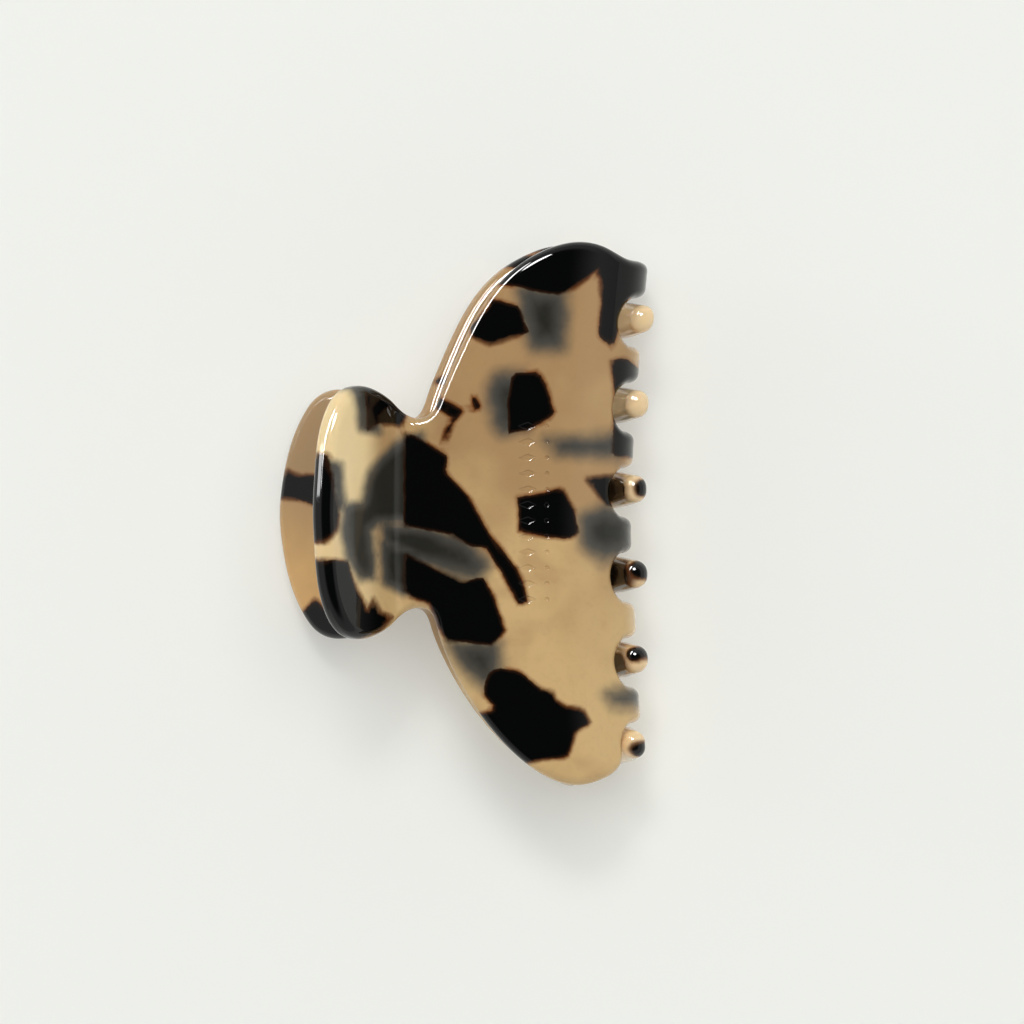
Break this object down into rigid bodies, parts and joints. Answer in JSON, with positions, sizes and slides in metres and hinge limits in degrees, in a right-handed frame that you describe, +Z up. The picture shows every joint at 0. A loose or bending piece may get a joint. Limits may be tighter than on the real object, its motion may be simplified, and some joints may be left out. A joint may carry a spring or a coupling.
{
  "type": "claw hair clip",
  "caption": "Sprung claw hair clip with bent tortoiseshell acetate jaws that have rounded thumb handles, half-moon bodies and interleaving blunt teeth.",
  "frame": {"origin": "below the middle of the outer box, on the surface that the clip lies on, with the lower jaw's handle edge and belly touching it", "axes": "+X from the handles to the teeth, +Y along the hinge pin, +Z up, out of the upper jaw"},
  "size_m": [0.0624, 0.0902, 0.0409],
  "materials": {
    "upper_acetate": "polished blond tortoiseshell with black-brown patches",
    "lower_acetate": "polished blond tortoiseshell with black-brown patches",
    "knuckle_acetate": "polished blond acetate",
    "pin_steel": "bright drawn steel",
    "spring_steel": "drawn spring wire"
  },
  "bodies": {
    "lower": {"lower_jaw": "lower_acetate", "lower_outer_knuckle": "knuckle_acetate", "lower_inner_knuckle": "knuckle_acetate", "hinge_pin": "pin_steel", "spring": "spring_steel"},
    "upper": {"upper_jaw": "upper_acetate", "upper_outer_knuckle": "knuckle_acetate", "upper_inner_knuckle": "knuckle_acetate"}
  },
  "joints": [
    {"name": "jaw_hinge", "type": "hinge", "parent": "lower", "child": "upper", "pos_m": [-0.00812, 0, 0.01748], "axis": [0, -1, 0], "range_deg": [0, 60], "stiffness_Nm_per_rad": 0.27, "springref_deg": -37.24, "deforming": ["spring"]}
  ]
}
